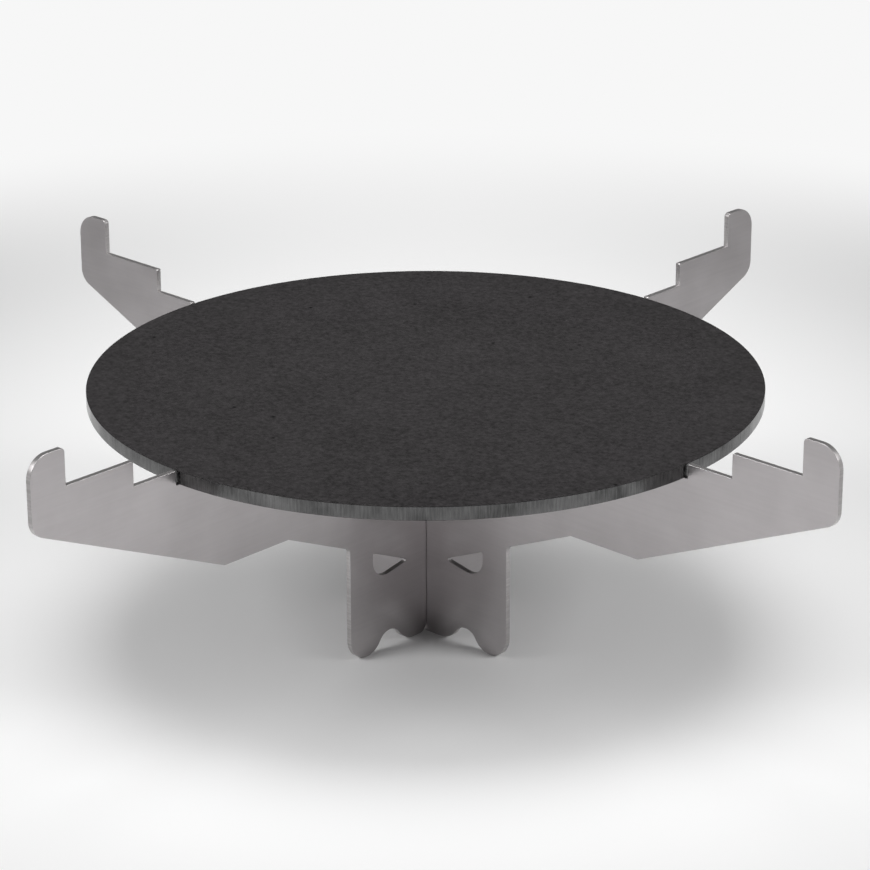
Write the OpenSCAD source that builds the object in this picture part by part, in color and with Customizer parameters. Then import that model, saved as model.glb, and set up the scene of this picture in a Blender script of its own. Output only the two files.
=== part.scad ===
// Camp griddle plate on a cross stand that plugs together.
// A round steel plate lies loose on two upright sheet bars, which cross in half-lap slots.
// Millimetres. Z is the plate's axis and the feet stand on z = 0.
// The lower bar runs along X and the upper bar along Y.

/* [Plate] */
// Diameter of the griddle plate
plate_d = 300; // [240:1:360]
// Thickness of the griddle plate
plate_t = 6.4; // [4:0.1:10]
// Broken edge on both rims of the plate
plate_edge = 0.4; // [0.2:0.1:1]

/* [Bars] */
// Thickness of the sheet that the bars are cut from
sheet_t = 2.5; // [1.5:0.1:4]
// Height of the plate's seat above the ground
seat_h = 115.5; // [96:0.5:140]
// Width across the legs of one bar
foot_w = 100; // [83:1:125]

/* [Arm top] */
// Gap between the plate's rim and the risers that keep it centred
rim_gap = 1.2; // [0.5:0.1:3]
// Width of the middle step, which is level with the plate's top
middle_step_w = 23.3; // [15:0.1:35]
// Rise from the middle step to the outer step
outer_step_rise = 11; // [6:0.5:16]
// Width of the outer step
outer_step_w = 36; // [20:1:50]
// Rise from the outer step to the top of the hook
hook_rise = 16.5; // [12:0.5:24]
// Width of the hook at the end of the arm
hook_w = 18.5; // [14:0.5:26]
// Height of the arm's end, from the top of the hook to its lower corner
arm_end_h = 33; // [27:0.5:40]
// Radius of the hook's outer corner
hook_r = 10; // [4:0.5:12]
// Radius of the hook's inner corner
hook_inner_r = 2; // [0.5:0.5:2]
// Radius of the lower corner at the arm's end
arm_end_r = 8; // [3:0.5:10]
// Radius that breaks the corners of the steps
step_r = 0.6; // [0.2:0.1:1]

/* [Arm underside] */
// Slope of the two slanted lower edges, in degrees
under_angle = 23.5; // [18:0.5:30]
// Drop from the seat to the level ledge between the slanted edges
ledge_drop = 44.3; // [36:0.1:54]
// Radius at the outer end of the ledge
ledge_r = 3; // [1:0.5:6]
// Drop from the seat to the shoulder where the arm meets the leg
shoulder_drop = 60.5; // [50:0.5:73]
// Radius in the shoulder
shoulder_r = 2.5; // [1:0.5:5]

/* [Foot] */
// Radius of the toe at each end of the foot
toe_r = 10; // [6:0.5:12]
// Height of the arch between a toe and the centre pad
arch_h = 8.4; // [4:0.1:10]
// Width of the flat part of the centre pad
pad_w = 19; // [15:0.5:23]
// Radius at the ends of the centre pad
pad_r = 12; // [6:0.5:14]

/* [Half-lap slots] */
// Play of the sheet in the slots
slot_play = 0.3; // [0.1:0.05:0.6]
// Radius at the mouth of the upper bar's slot
mouth_r = 4.5; // [1:0.5:5.5]

/* [Windows] */
// Wall between a window and the side of the leg
window_wall = 14.4; // [10:0.1:18]
// Width of a window, tip to outer side before rounding
window_w = 22.8; // [16:0.1:28]
// Drop from the seat to the window's tip
window_drop = 76.7; // [70:0.1:92]
// Angle between the two long sides of a window
window_spread = 34; // [24:1:40]
// Radius of the window's lower outer corner
window_r = 8; // [2:0.5:9]
// Radius of the window's tip and upper corner
window_tip_r = 0.8; // [0.4:0.1:1.5]

/* [Hidden] */

$fn = 180;
// An arc is this much larger than its radius, so that it crosses the lines it should touch
touch = 0.001;
// A corner's sliver reaches past the two lines of its corner by this much
reach = 0.1;

plate_colour = [0.20, 0.20, 0.20];
bar_colour = [0.64, 0.63, 0.62];

// Levels of the arm's top, and the distances from the axis at which they change
seat_u = plate_d / 2 + rim_gap;
outer_u = seat_u + middle_step_w;
hook_u = outer_u + outer_step_w;
end_u = hook_u + hook_w;
middle_z = seat_h + plate_t;
outer_z = middle_z + outer_step_rise;
hook_z = outer_z + hook_rise;

// Underside of the arm: both slanted edges have the same slope
slope = tan(under_angle);
end_z = hook_z - arm_end_h;
ledge_z = seat_h - ledge_drop;
ledge_out_u = end_u - (end_z - ledge_z) / slope;
shoulder_z = seat_h - shoulder_drop;
leg_u = foot_w / 2;
ledge_in_u = leg_u + (ledge_z - shoulder_z) / slope;

// Foot: pad, arch and toe are arcs that run into each other, which sets the arch's radius
toe_c = [leg_u - toe_r, toe_r];
pad_c = [pad_w / 2, pad_r];
foot_span = toe_c.x - pad_c.x;
toe_lift = arch_h * (2 * toe_r - arch_h);
pad_lift = arch_h * (2 * pad_r - arch_h);
pad_reach = (foot_span ^ 2 + pad_lift - toe_lift) / (2 * foot_span);
arch_r = (pad_reach ^ 2 - pad_lift) / (2 * arch_h);
arch_c = [pad_c.x + pad_reach, arch_h - arch_r];

// Corners of the foot, where the tangents at the ends of its arcs meet
toe_bearing = atan2(toe_c.y - arch_c.y, toe_c.x - arch_c.x);
pad_bearing = atan2(pad_c.y - arch_c.y, pad_c.x - arch_c.x);
arch_toe = arch_c + arch_r * [cos(toe_bearing), sin(toe_bearing)];
arch_pad = arch_c + arch_r * [cos(pad_bearing), sin(pad_bearing)];
arch_mid = (toe_bearing + pad_bearing) / 2;
arch_out = arch_r / cos((pad_bearing - toe_bearing) / 2);
arch_top = arch_c + arch_out * [cos(arch_mid), sin(arch_mid)];
toe_z = arch_toe.y - (leg_u - arch_toe.x) / tan(toe_bearing);
pad_u = arch_pad.x + arch_pad.y * tan(pad_bearing);

// The two slots share the height of the seat
lap_z = seat_h / 2;
slot_half = (sheet_t + slot_play) / 2;

// Window corners: the upper side runs with the slanted edges of the arm
window_out_u = leg_u - window_wall;
window_tip = [window_out_u - window_w, seat_h - window_drop];
window_top = window_tip + window_w * [1, slope];
window_low = window_tip - window_w * [-1, tan(window_spread - under_angle)];

// Outlines are lists of [x, y, radius] corners, counter-clockwise; radius 0 is a sharp corner
foot_side = [
  [pad_u, 0, pad_r],
  [arch_top.x, arch_top.y, arch_r],
  [leg_u, toe_z, toe_r]
];

arm_side = [
  [leg_u, shoulder_z, shoulder_r],
  [ledge_in_u, ledge_z, 0],
  [ledge_out_u, ledge_z, ledge_r],
  [end_u, end_z, arm_end_r],
  [end_u, hook_z, hook_r],
  [hook_u, hook_z, hook_inner_r],
  [hook_u, outer_z, 0],
  [outer_u, outer_z, step_r],
  [outer_u, middle_z, 0],
  [seat_u, middle_z, step_r],
  [seat_u, seat_h, 0]
];

slot_from_below = [
  [slot_half, lap_z, 0],
  [slot_half, 0, mouth_r]
];

slot_from_above = [
  [slot_half, seat_h, 0],
  [slot_half, lap_z, 0]
];

window = [
  [window_tip.x, window_tip.y, window_tip_r],
  [window_low.x, window_low.y, window_r],
  [window_top.x, window_top.y, window_tip_r]
];

function xy(p) = [p.x, p.y];

function unit(v) = v / norm(v);

function mirrored(list) = [for (i = [len(list) - 1:-1:0]) [-list[i].x, list[i].y, list[i].z]];

function before(list, i) = xy(list[(i + len(list) - 1) % len(list)]);

function after(list, i) = xy(list[(i + 1) % len(list)]);

function turns_left(list, i) =
  cross(xy(list[i]) - before(list, i), after(list, i) - xy(list[i])) > 0;

// Sliver between the sharp corner i of an outline and the arc that rounds it
module corner_sliver(list, i) {
  p = xy(list[i]);
  r = list[i].z;
  back = unit(before(list, i) - p);
  on = unit(after(list, i) - p);
  half = acos(back * on) / 2;
  c = p + unit(back + on) * r / sin(half);
  corners = [p, p + back * r / tan(half), c, p + on * r / tan(half)];
  translate(c)
    difference() {
      polygon([for (v = corners) (1 + reach / r) * (v - c)]);
      circle(r + touch);
    }
}

module rounded_outline(list) {
  round_corners = [for (i = [0:len(list) - 1]) if (list[i].z > 0) i];
  difference() {
    union() {
      polygon([for (p = list) xy(p)]);
      for (i = round_corners)
        if (!turns_left(list, i)) corner_sliver(list, i);
    }
    for (i = round_corners)
      if (turns_left(list, i)) corner_sliver(list, i);
  }
}

// Outline of one bar, with its slot given as the corners before the foot or after the arm
module bar_outline(low_slot = [], high_slot = []) {
  side = concat(low_slot, foot_side, arm_side, high_slot);
  difference() {
    rounded_outline(concat(side, mirrored(side)));
    rounded_outline(window);
    rounded_outline(mirrored(window));
  }
}

// Stands a bar's outline up along X, with the sheet centred on the XZ plane
module upright() {
  rotate([90, 0, 0])
    linear_extrude(sheet_t, center = true)
      children();
}

module griddle_plate() {
  r = plate_d / 2;
  color(plate_colour)
    translate([0, 0, seat_h])
      rotate_extrude()
        polygon([
          [0, 0],
          [r - plate_edge, 0],
          [r, plate_edge],
          [r, plate_t - plate_edge],
          [r - plate_edge, plate_t],
          [0, plate_t]
        ]);
}

module upper_cross_bar() {
  color(bar_colour)
    rotate([0, 0, 90])
      upright() bar_outline(low_slot = slot_from_below);
}

module lower_cross_bar() {
  color(bar_colour)
    upright() bar_outline(high_slot = slot_from_above);
}

griddle_plate();
upper_cross_bar();
lower_cross_bar();
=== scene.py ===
import math

import bpy
from mathutils import Matrix, Vector


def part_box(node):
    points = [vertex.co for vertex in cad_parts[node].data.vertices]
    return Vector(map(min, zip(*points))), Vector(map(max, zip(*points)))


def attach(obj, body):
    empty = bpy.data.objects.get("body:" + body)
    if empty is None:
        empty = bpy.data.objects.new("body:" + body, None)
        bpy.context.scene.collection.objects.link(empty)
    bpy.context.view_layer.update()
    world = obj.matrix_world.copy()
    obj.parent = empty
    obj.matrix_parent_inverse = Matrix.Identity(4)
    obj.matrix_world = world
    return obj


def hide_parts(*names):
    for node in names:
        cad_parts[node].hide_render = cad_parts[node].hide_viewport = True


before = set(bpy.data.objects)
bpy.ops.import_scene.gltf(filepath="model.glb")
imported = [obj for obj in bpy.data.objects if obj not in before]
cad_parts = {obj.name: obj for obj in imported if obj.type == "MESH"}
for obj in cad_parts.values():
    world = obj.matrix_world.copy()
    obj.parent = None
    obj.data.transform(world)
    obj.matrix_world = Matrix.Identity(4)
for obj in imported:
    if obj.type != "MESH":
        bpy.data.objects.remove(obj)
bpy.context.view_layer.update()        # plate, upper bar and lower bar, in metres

mm = 0.001
noiseLow = 0.3           # noise textures seldom leave the range between these two
noiseHigh = 0.7
smoothAngle = 35         # degrees, steeper edges stay crisp
print("frame loaded:", ", ".join(sorted(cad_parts)))


# colours are written as sRGB hex and go to the shaders as linear values
def hexColour(text):
    channels = [int(text[i:i + 2], 16) / 255 for i in (0, 2, 4)]
    return [c / 12.92 if c <= 0.04045 else ((c + 0.055) / 1.055) ** 2.4 for c in channels] + [1.0]


# adds one node: settings are its own options, sockets are values or the outputs that feed them
def addNode(tree, kind, sockets=None, **settings):
    node = tree.nodes.new(kind)
    for name, value in settings.items():
        setattr(node, name, value)
    for name, value in (sockets or {}).items():
        if isinstance(value, bpy.types.NodeSocket):
            tree.links.new(value, node.inputs[name])
        else:
            node.inputs[name].default_value = value
    return node


def newMaterial(name):
    material = bpy.data.materials.new(name)
    material.use_nodes = True
    tree = material.node_tree
    tree.nodes.clear()
    return material, tree


def onlySelect(obj):
    bpy.ops.object.select_all(action="DESELECT")
    obj.select_set(True)
    bpy.context.view_layer.objects.active = obj


def applyModifier(obj, kind, **settings):
    onlySelect(obj)
    modifier = obj.modifiers.new(kind.lower(), kind)
    for name, value in settings.items():
        setattr(modifier, name, value)
    bpy.ops.object.modifier_apply(modifier=modifier.name)


# camera: solved from the plate's ellipse and the corners of the arms, angles in degrees
cameraFit = {
    "aim": (0, 0, 0.1155),      # centre of the plate's underside
    "azimuth": 43.5862,         # from -Y towards +X
    "elevation": 20.4413,
    "distance": 1.537271,
    "sensor": 36,               # width in millimetres
    "lens": 143.3156,
    "clipStart": 0.05,
    "yaw": 0.1515,
    "pitch": -0.7240,
    "roll": -0.2168,
}


# turns two of the camera's axes about the third
def turned(first, second, degrees):
    angle = math.radians(degrees)
    return (math.cos(angle) * first + math.sin(angle) * second,
            math.cos(angle) * second - math.sin(angle) * first)


def placeCamera():
    azimuth = math.radians(cameraFit["azimuth"])
    elevation = math.radians(cameraFit["elevation"])
    right = Vector((math.cos(azimuth), math.sin(azimuth), 0))
    back = Vector((math.sin(azimuth) * math.cos(elevation),
                   -math.cos(azimuth) * math.cos(elevation),
                   math.sin(elevation)))
    up = back.cross(right)
    place = Vector(cameraFit["aim"]) + cameraFit["distance"] * back
    right, back = turned(right, back, cameraFit["yaw"])
    up, back = turned(up, back, cameraFit["pitch"])
    right, up = turned(right, up, cameraFit["roll"])
    data = bpy.data.cameras.new("photoCamera")
    data.sensor_width = cameraFit["sensor"]
    data.lens = cameraFit["lens"]
    data.clip_start = cameraFit["clipStart"]
    camera = bpy.data.objects.new("photoCamera", data)
    bpy.context.scene.collection.objects.link(camera)
    facing = Matrix((right, up, back)).transposed()
    camera.matrix_world = Matrix.Translation(place) @ facing.to_4x4()
    bpy.context.scene.camera = camera


placeCamera()
print("camera placed")


# satin stainless sheet, rolled and lightly brushed: light grey, blurred reflections, level grain
satinLook = {
    "light": "C2BEBF",
    "dark": "B4B0B1",
    "grainPitch": 1.3 * mm,     # real brush lines are near 0.1 mm, drawn coarser so that they show
    "grainLength": 40 * mm,
    "cloudSize": 25 * mm,       # slow change of tone from rolling and handling
    "grainShare": 0.25,         # the rest of the tone is cloud
    "roughness": (0.29, 0.36),
    "metallic": 0.92,           # the satin skin scatters a little
    "waveDepth": 0.01 * mm,     # the sheet is never quite flat
}


def satinSheet():
    material, tree = newMaterial("satinStainlessSheet")
    place = addNode(tree, "ShaderNodeTexCoord").outputs["Object"]
    along = 1 / satinLook["grainLength"]
    across = 1 / satinLook["grainPitch"]
    grainPlace = addNode(tree, "ShaderNodeMapping",
                         {"Vector": place, "Scale": (along, along, across)})
    grain = addNode(tree, "ShaderNodeTexNoise",
                    {"Vector": grainPlace.outputs[0], "Scale": 1.0, "Detail": 1.0})
    cloud = addNode(tree, "ShaderNodeTexNoise",
                    {"Vector": place, "Scale": 1 / satinLook["cloudSize"], "Detail": 4.0})
    blend = addNode(tree, "ShaderNodeMix",
                    {"Factor": satinLook["grainShare"], "A": cloud.outputs[0],
                     "B": grain.outputs[0]})
    tone = addNode(tree, "ShaderNodeMapRange",
                   {"Value": blend.outputs[0], "From Min": noiseLow, "From Max": noiseHigh})
    colour = addNode(tree, "ShaderNodeMix",
                     {"Factor": tone.outputs[0], "A": hexColour(satinLook["dark"]),
                      "B": hexColour(satinLook["light"])}, data_type="RGBA")
    low, high = satinLook["roughness"]
    rough = addNode(tree, "ShaderNodeMapRange",
                    {"Value": blend.outputs[0], "From Min": noiseLow, "From Max": noiseHigh,
                     "To Min": low, "To Max": high})
    bump = addNode(tree, "ShaderNodeBump",
                   {"Height": cloud.outputs[0], "Distance": satinLook["waveDepth"],
                    "Strength": 1.0})
    shader = addNode(tree, "ShaderNodeBsdfPrincipled",
                     {"Base Color": colour.outputs[2], "Metallic": satinLook["metallic"],
                      "Roughness": rough.outputs[0], "Normal": bump.outputs[0]})
    addNode(tree, "ShaderNodeOutputMaterial", {"Surface": shader.outputs[0]})
    return material


# laser-cut edge of the same sheet: brighter and rougher than the faces, with drag lines across it
cutLook = {
    "light": "CAC7C7",
    "dark": "B6B3B3",
    "linePitch": 0.9 * mm,      # real drag lines are near 0.3 mm, drawn coarser so that they show
    "roughness": (0.34, 0.42),
    "bumpDepth": 0.002 * mm,
}


def cutEdge(name, along):
    material, tree = newMaterial(name)
    place = addNode(tree, "ShaderNodeTexCoord").outputs["Object"]
    pitch = 1 / cutLook["linePitch"]
    scale = [pitch * share for share in along] + [pitch]     # no change through the sheet
    linePlace = addNode(tree, "ShaderNodeMapping", {"Vector": place, "Scale": scale})
    lines = addNode(tree, "ShaderNodeTexNoise",
                    {"Vector": linePlace.outputs[0], "Scale": 1.0, "Detail": 2.0})
    tone = addNode(tree, "ShaderNodeMapRange",
                   {"Value": lines.outputs[0], "From Min": noiseLow, "From Max": noiseHigh})
    colour = addNode(tree, "ShaderNodeMix",
                     {"Factor": tone.outputs[0], "A": hexColour(cutLook["dark"]),
                      "B": hexColour(cutLook["light"])}, data_type="RGBA")
    low, high = cutLook["roughness"]
    rough = addNode(tree, "ShaderNodeMapRange",
                    {"Value": lines.outputs[0], "From Min": noiseLow, "From Max": noiseHigh,
                     "To Min": high, "To Max": low})
    bump = addNode(tree, "ShaderNodeBump",
                   {"Height": lines.outputs[0], "Distance": cutLook["bumpDepth"],
                    "Strength": 1.0})
    shader = addNode(tree, "ShaderNodeBsdfPrincipled",
                     {"Base Color": colour.outputs[2], "Metallic": 1.0,
                      "Roughness": rough.outputs[0], "Normal": bump.outputs[0]})
    addNode(tree, "ShaderNodeOutputMaterial", {"Surface": shader.outputs[0]})
    return material


# hot-rolled steel with mill scale: near black, matt, finely mottled, with a few small pits
scaleLook = {
    "light": "3E3C3D",
    "dark": "1D1C1C",
    "pit": "0B0B0B",
    "grain": 2.2 * mm,          # the scale's grain is near 0.3 mm, drawn coarser so that it shows
    "cloudSize": 35 * mm,
    "grainShare": 0.85,         # the rest of the tone is cloud
    "pitSpacing": 24 * mm,
    "pitSize": 1.3 * mm,
    "pitCore": 0.3,             # share of a pit that is quite black
    "roughness": (0.55, 0.72),
    "specular": 0.05,           # dry scale hardly shines
    "bumpDepth": 0.03 * mm,
    "bumpStrength": 0.6,
}


def millScale():
    material, tree = newMaterial("hotRolledMillScale")
    place = addNode(tree, "ShaderNodeTexCoord").outputs["Object"]
    grain = addNode(tree, "ShaderNodeTexNoise",
                    {"Vector": place, "Scale": 1 / scaleLook["grain"], "Detail": 5.0,
                     "Roughness": 0.75})
    cloud = addNode(tree, "ShaderNodeTexNoise",
                    {"Vector": place, "Scale": 1 / scaleLook["cloudSize"], "Detail": 4.0})
    blend = addNode(tree, "ShaderNodeMix",
                    {"Factor": scaleLook["grainShare"], "A": cloud.outputs[0],
                     "B": grain.outputs[0]})
    tone = addNode(tree, "ShaderNodeMapRange",
                   {"Value": blend.outputs[0], "From Min": noiseLow, "From Max": noiseHigh})
    colour = addNode(tree, "ShaderNodeMix",
                     {"Factor": tone.outputs[0], "A": hexColour(scaleLook["dark"]),
                      "B": hexColour(scaleLook["light"])}, data_type="RGBA")
    spacing = scaleLook["pitSpacing"]
    pits = addNode(tree, "ShaderNodeTexVoronoi", {"Vector": place, "Scale": 1 / spacing})
    size = scaleLook["pitSize"] / spacing
    pit = addNode(tree, "ShaderNodeMapRange",
                  {"Value": pits.outputs["Distance"], "From Min": scaleLook["pitCore"] * size,
                   "From Max": size, "To Min": 1.0, "To Max": 0.0})
    pitted = addNode(tree, "ShaderNodeMix",
                     {"Factor": pit.outputs[0], "A": colour.outputs[2],
                      "B": hexColour(scaleLook["pit"])}, data_type="RGBA")
    low, high = scaleLook["roughness"]
    rough = addNode(tree, "ShaderNodeMapRange",
                    {"Value": blend.outputs[0], "From Min": noiseLow, "From Max": noiseHigh,
                     "To Min": low, "To Max": high})
    bump = addNode(tree, "ShaderNodeBump",
                   {"Height": grain.outputs[0], "Distance": scaleLook["bumpDepth"],
                    "Strength": scaleLook["bumpStrength"]})
    shader = addNode(tree, "ShaderNodeBsdfPrincipled",
                     {"Base Color": pitted.outputs[2], "Roughness": rough.outputs[0],
                      "Normal": bump.outputs[0], "Specular IOR Level": scaleLook["specular"]})
    addNode(tree, "ShaderNodeOutputMaterial", {"Surface": shader.outputs[0]})
    return material


# rim of the plate, cut by a torch: dark bare steel with fine upright drag lines and soft stains
rimLook = {
    "light": "8C8C8C",
    "dark": "484848",
    "linePitch": 0.8 * mm,
    "lineLength": 9 * mm,
    "stainSize": 14 * mm,
    "lineShare": 0.45,          # the rest of the tone is stain
    "roughness": (0.16, 0.26),
    "bumpDepth": 0.006 * mm,
}


def cutRim(radius):
    material, tree = newMaterial("torchCutRim")
    place = addNode(tree, "ShaderNodeTexCoord").outputs["Object"]
    split = addNode(tree, "ShaderNodeSeparateXYZ", {"Vector": place})
    angle = addNode(tree, "ShaderNodeMath",
                    {0: split.outputs["Y"], 1: split.outputs["X"]}, operation="ARCTAN2")
    length = addNode(tree, "ShaderNodeMath",
                     {0: angle.outputs[0], 1: radius / rimLook["linePitch"]},
                     operation="MULTIPLY")
    height = addNode(tree, "ShaderNodeMath",
                     {0: split.outputs["Z"], 1: 1 / rimLook["lineLength"]},
                     operation="MULTIPLY")
    linePlace = addNode(tree, "ShaderNodeCombineXYZ",
                        {"X": length.outputs[0], "Y": height.outputs[0]})
    lines = addNode(tree, "ShaderNodeTexNoise",
                    {"Vector": linePlace.outputs[0], "Scale": 1.0, "Detail": 3.0,
                     "Roughness": 0.6})
    stain = addNode(tree, "ShaderNodeTexNoise",
                    {"Vector": place, "Scale": 1 / rimLook["stainSize"], "Detail": 3.0})
    blend = addNode(tree, "ShaderNodeMix",
                    {"Factor": rimLook["lineShare"], "A": stain.outputs[0],
                     "B": lines.outputs[0]})
    tone = addNode(tree, "ShaderNodeMapRange",
                   {"Value": blend.outputs[0], "From Min": noiseLow, "From Max": noiseHigh})
    colour = addNode(tree, "ShaderNodeMix",
                     {"Factor": tone.outputs[0], "A": hexColour(rimLook["dark"]),
                      "B": hexColour(rimLook["light"])}, data_type="RGBA")
    low, high = rimLook["roughness"]
    rough = addNode(tree, "ShaderNodeMapRange",
                    {"Value": blend.outputs[0], "From Min": noiseLow, "From Max": noiseHigh,
                     "To Min": high, "To Max": low})
    bump = addNode(tree, "ShaderNodeBump",
                   {"Height": lines.outputs[0], "Distance": rimLook["bumpDepth"],
                    "Strength": 1.0})
    shader = addNode(tree, "ShaderNodeBsdfPrincipled",
                     {"Base Color": colour.outputs[2], "Metallic": 1.0,
                      "Roughness": rough.outputs[0], "Normal": bump.outputs[0]})
    addNode(tree, "ShaderNodeOutputMaterial", {"Surface": shader.outputs[0]})
    return material


# plate: a disc with its rims worn round
plateShape = {
    "sides": 480,
    "topEdge": 0.6 * mm,
    "bottomEdge": 0.5 * mm,
    "edgeSteps": 4,
    "edgeSearch": 0.01 * mm,    # an edge this near to a face's level belongs to its rim
    "inset": 0.6 * mm,          # keeps the shading of the round faces flat
    "scaleLimit": 0.5,          # scale reaches over the edge to where the normal's Z falls to this
}


def selectEdges(obj, chosen):
    bpy.ops.mesh.select_mode(type="EDGE")
    bpy.ops.mesh.select_all(action="DESELECT")
    bpy.ops.object.mode_set(mode="OBJECT")
    points = obj.data.vertices
    for edge in obj.data.edges:
        edge.select = chosen(*[points[i].co for i in edge.vertices])
    bpy.ops.object.mode_set(mode="EDIT")


def makePlate():
    low, high = [Vector(corner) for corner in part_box("griddle_plate")]
    radius = (high.x - low.x) / 2
    near = plateShape["edgeSearch"]
    bpy.ops.object.select_all(action="DESELECT")
    bpy.ops.mesh.primitive_cylinder_add(vertices=plateShape["sides"], radius=radius,
                                        depth=high.z - low.z, location=(low + high) / 2)
    plate = bpy.context.object
    plate.name = "griddlePlate"
    bpy.ops.object.transform_apply(location=True, rotation=True, scale=True)
    bpy.ops.object.mode_set(mode="EDIT")
    for level, width in ((high.z, plateShape["topEdge"]), (low.z, plateShape["bottomEdge"])):
        selectEdges(plate, lambda a, b: abs(a.z - level) < near and abs(b.z - level) < near)
        bpy.ops.mesh.bevel(offset=width, segments=plateShape["edgeSteps"], profile=0.5)
    bpy.ops.mesh.select_mode(type="FACE")
    bpy.ops.mesh.select_all(action="DESELECT")
    bpy.ops.object.mode_set(mode="OBJECT")
    for face in plate.data.polygons:
        face.select = len(face.vertices) > 4        # the two round faces
    bpy.ops.object.mode_set(mode="EDIT")
    bpy.ops.mesh.inset(thickness=plateShape["inset"], depth=0)
    bpy.ops.object.mode_set(mode="OBJECT")
    plate.data.materials.clear()
    plate.data.materials.append(millScale())
    plate.data.materials.append(cutRim(radius))
    for face in plate.data.polygons:
        face.material_index = 0 if abs(face.normal.z) > plateShape["scaleLimit"] else 1
    onlySelect(plate)
    bpy.ops.object.shade_smooth_by_angle(angle=math.radians(smoothAngle))
    applyModifier(plate, "WEIGHTED_NORMAL", keep_sharp=True)
    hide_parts("griddle_plate")
    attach(plate, "plate")
    print("plate made:", len(plate.data.polygons), "faces")


makePlate()


# bars: the outline is the frame's own, with the burr broken off both cut edges
barShape = {
    "upperBar": {"node": "upper_cross_bar", "body": "upper_bar", "thin": 0, "along": (0, 1)},
    "lowerBar": {"node": "lower_cross_bar", "body": "lower_bar", "thin": 1, "along": (1, 0)},
}
barEdge = {
    "merge": 0.005 * mm,        # joins the frame's loose triangles
    "flatAngle": 0.2,           # degrees, triangles flatter than this become one face
    "faceLimit": 0.99,          # the sheet's faces look straight across it
    "burrWidth": 0.2 * mm,
    "burrSteps": 2,
    "burrAngle": 50,            # degrees, the small corners along the outline stay as they are
}


def makeBar(name, sheet):
    shape = barShape[name]
    bar = bpy.data.objects.new(name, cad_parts[shape["node"]].data.copy())
    bpy.context.scene.collection.objects.link(bar)
    bar.data.materials.clear()
    bar.data.materials.append(sheet)
    bar.data.materials.append(cutEdge(name + "LaserCutEdge", shape["along"]))
    onlySelect(bar)
    bpy.ops.object.mode_set(mode="EDIT")
    bpy.ops.mesh.select_all(action="SELECT")
    bpy.ops.mesh.remove_doubles(threshold=barEdge["merge"])
    bpy.ops.mesh.dissolve_limited(angle_limit=math.radians(barEdge["flatAngle"]))
    bpy.ops.object.mode_set(mode="OBJECT")
    for face in bar.data.polygons:
        across = abs(face.normal[shape["thin"]])
        face.material_index = 0 if across > barEdge["faceLimit"] else 1
    applyModifier(bar, "BEVEL", width=barEdge["burrWidth"], segments=barEdge["burrSteps"],
                  limit_method="ANGLE", angle_limit=math.radians(barEdge["burrAngle"]),
                  material=1, use_clamp_overlap=False)
    onlySelect(bar)
    bpy.ops.object.shade_smooth_by_angle(angle=math.radians(smoothAngle))
    applyModifier(bar, "WEIGHTED_NORMAL", keep_sharp=True)
    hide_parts(shape["node"])
    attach(bar, shape["body"])
    print(name, "made:", len(bar.data.polygons), "faces")


satin = satinSheet()
for barName in barShape:
    makeBar(barName, satin)


# studio: a plain pale floor under one long level softbox and two softboxes in front
studio = {
    "floor": "F7F7F7",
    "floorSize": 40.0,
    "litMiddle": 0.14,            # the lit patch lies a little behind the axis
    "paleSeen": (0.38, 0.68),     # metres from that middle, where unlit floor would turn grey
    "paleMirrored": (0.65, 1.1),  # the same in reflections, so that the arms keep their tone
    "spread": 70,                 # grids keep the light near the part, in degrees
    "room": "F4F4F4",
    "roomLevel": 0.18,
}
# places and aims are right, back and up from the axis in metres, seen from the photo's side
softboxes = {
    "overheadSoftbox": {"place": (0.0, 0.95, 0.85), "size": (0.5, 2.4), "watts": 2.95,
                        "aim": (0.0, 0.95, 0.0)},
    "leftSoftbox": {"place": (-0.78, -0.36, 0.7), "size": (0.5, 0.5), "watts": 1.1,
                    "aim": (0.0, 0.0, 0.1)},
    "rightSoftbox": {"place": (0.78, -0.36, 0.7), "size": (0.5, 0.5), "watts": 1.04,
                     "aim": (0.0, 0.0, 0.1)},
}


def studioPlace(right, back, up):
    azimuth = math.radians(cameraFit["azimuth"])
    return Vector((right * math.cos(azimuth) - back * math.sin(azimuth),
                   right * math.sin(azimuth) + back * math.cos(azimuth), up))


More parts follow.
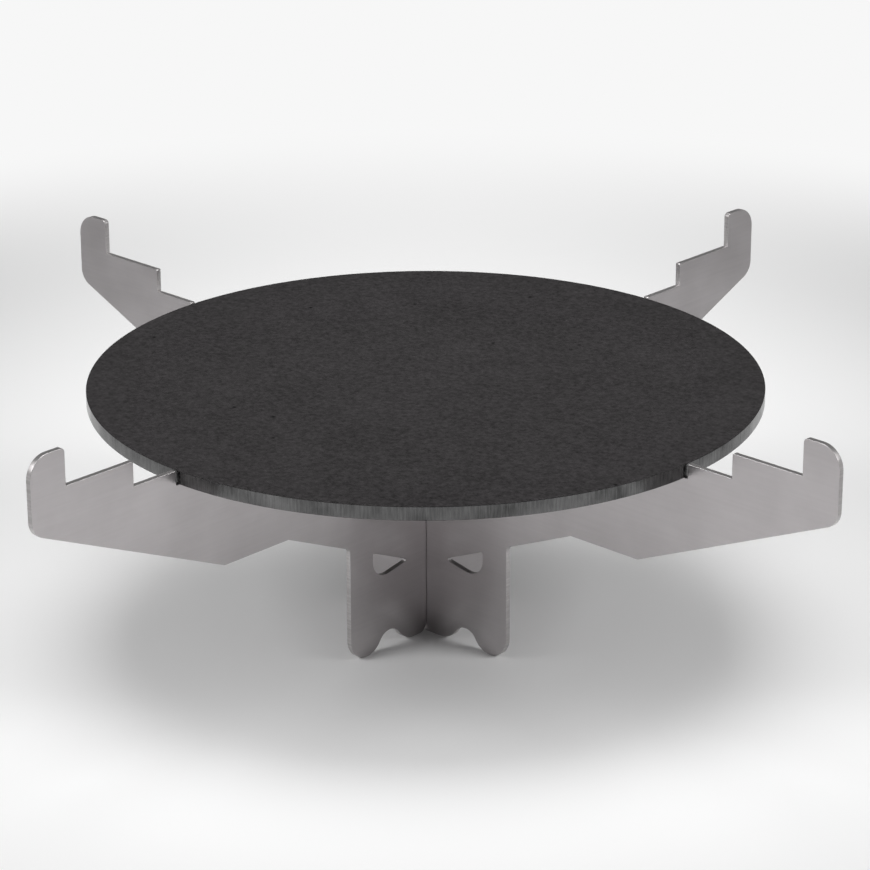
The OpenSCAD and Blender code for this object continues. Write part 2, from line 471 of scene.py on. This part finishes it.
def addFloor():
    material, tree = newMaterial("matPaleFloor")
    place = addNode(tree, "ShaderNodeTexCoord").outputs["Object"]
    middle = studioPlace(0, studio["litMiddle"], 0)
    distance = addNode(tree, "ShaderNodeVectorMath", {0: place, 1: middle},
                       operation="DISTANCE")
    ray = addNode(tree, "ShaderNodeLightPath")
    mirrored = addNode(tree, "ShaderNodeMath",
                       {0: ray.outputs["Is Glossy Ray"], 1: ray.outputs["Is Transmission Ray"]},
                       operation="MAXIMUM")
    shares = []
    for limits, rays in (("paleSeen", ray.outputs["Is Camera Ray"]),
                         ("paleMirrored", mirrored.outputs[0])):
        near, far = studio[limits]
        pale = addNode(tree, "ShaderNodeMapRange",
                       {"Value": distance.outputs["Value"], "From Min": near, "From Max": far},
                       interpolation_type="SMOOTHSTEP")
        shares.append(addNode(tree, "ShaderNodeMath", {0: pale.outputs[0], 1: rays},
                              operation="MULTIPLY"))
    share = addNode(tree, "ShaderNodeMath",
                    {0: shares[0].outputs[0], 1: shares[1].outputs[0]}, operation="MAXIMUM")
    paper = addNode(tree, "ShaderNodeBsdfDiffuse", {"Color": hexColour(studio["floor"])})
    white = addNode(tree, "ShaderNodeEmission",
                    {"Color": hexColour(studio["floor"]), "Strength": 1.0})
    shader = addNode(tree, "ShaderNodeMixShader",
                     {"Fac": share.outputs[0], 1: paper.outputs[0], 2: white.outputs[0]})
    addNode(tree, "ShaderNodeOutputMaterial", {"Surface": shader.outputs[0]})
    bpy.ops.object.select_all(action="DESELECT")
    bpy.ops.mesh.primitive_plane_add(size=studio["floorSize"], location=(0, 0, 0))
    floor = bpy.context.object
    floor.name = "studioFloor"
    floor.data.materials.append(material)


def addSoftbox(name):
    box = softboxes[name]
    data = bpy.data.lights.new(name, "AREA")
    data.shape = "RECTANGLE"
    data.size, data.size_y = box["size"]
    data.energy = box["watts"]
    data.spread = math.radians(studio["spread"])
    lamp = bpy.data.objects.new(name, data)
    bpy.context.scene.collection.objects.link(lamp)
    place = studioPlace(*box["place"])
    down = (studioPlace(*box["aim"]) - place).normalized()
    side = down.cross(studioPlace(0, 1, 0)).normalized()
    facing = Matrix((side, side.cross(down), -down)).transposed()
    lamp.matrix_world = Matrix.Translation(place) @ facing.to_4x4()


def makeStudio():
    addFloor()
    world = bpy.data.worlds.new("studioRoom")
    bpy.context.scene.world = world
    world.use_nodes = True
    world.node_tree.nodes.clear()
    room = addNode(world.node_tree, "ShaderNodeBackground",
                   {"Color": hexColour(studio["room"]), "Strength": studio["roomLevel"]})
    addNode(world.node_tree, "ShaderNodeOutputWorld", {"Surface": room.outputs[0]})
    for name in softboxes:
        addSoftbox(name)


makeStudio()
bpy.context.scene.view_settings.view_transform = "Standard"
print("studio set")
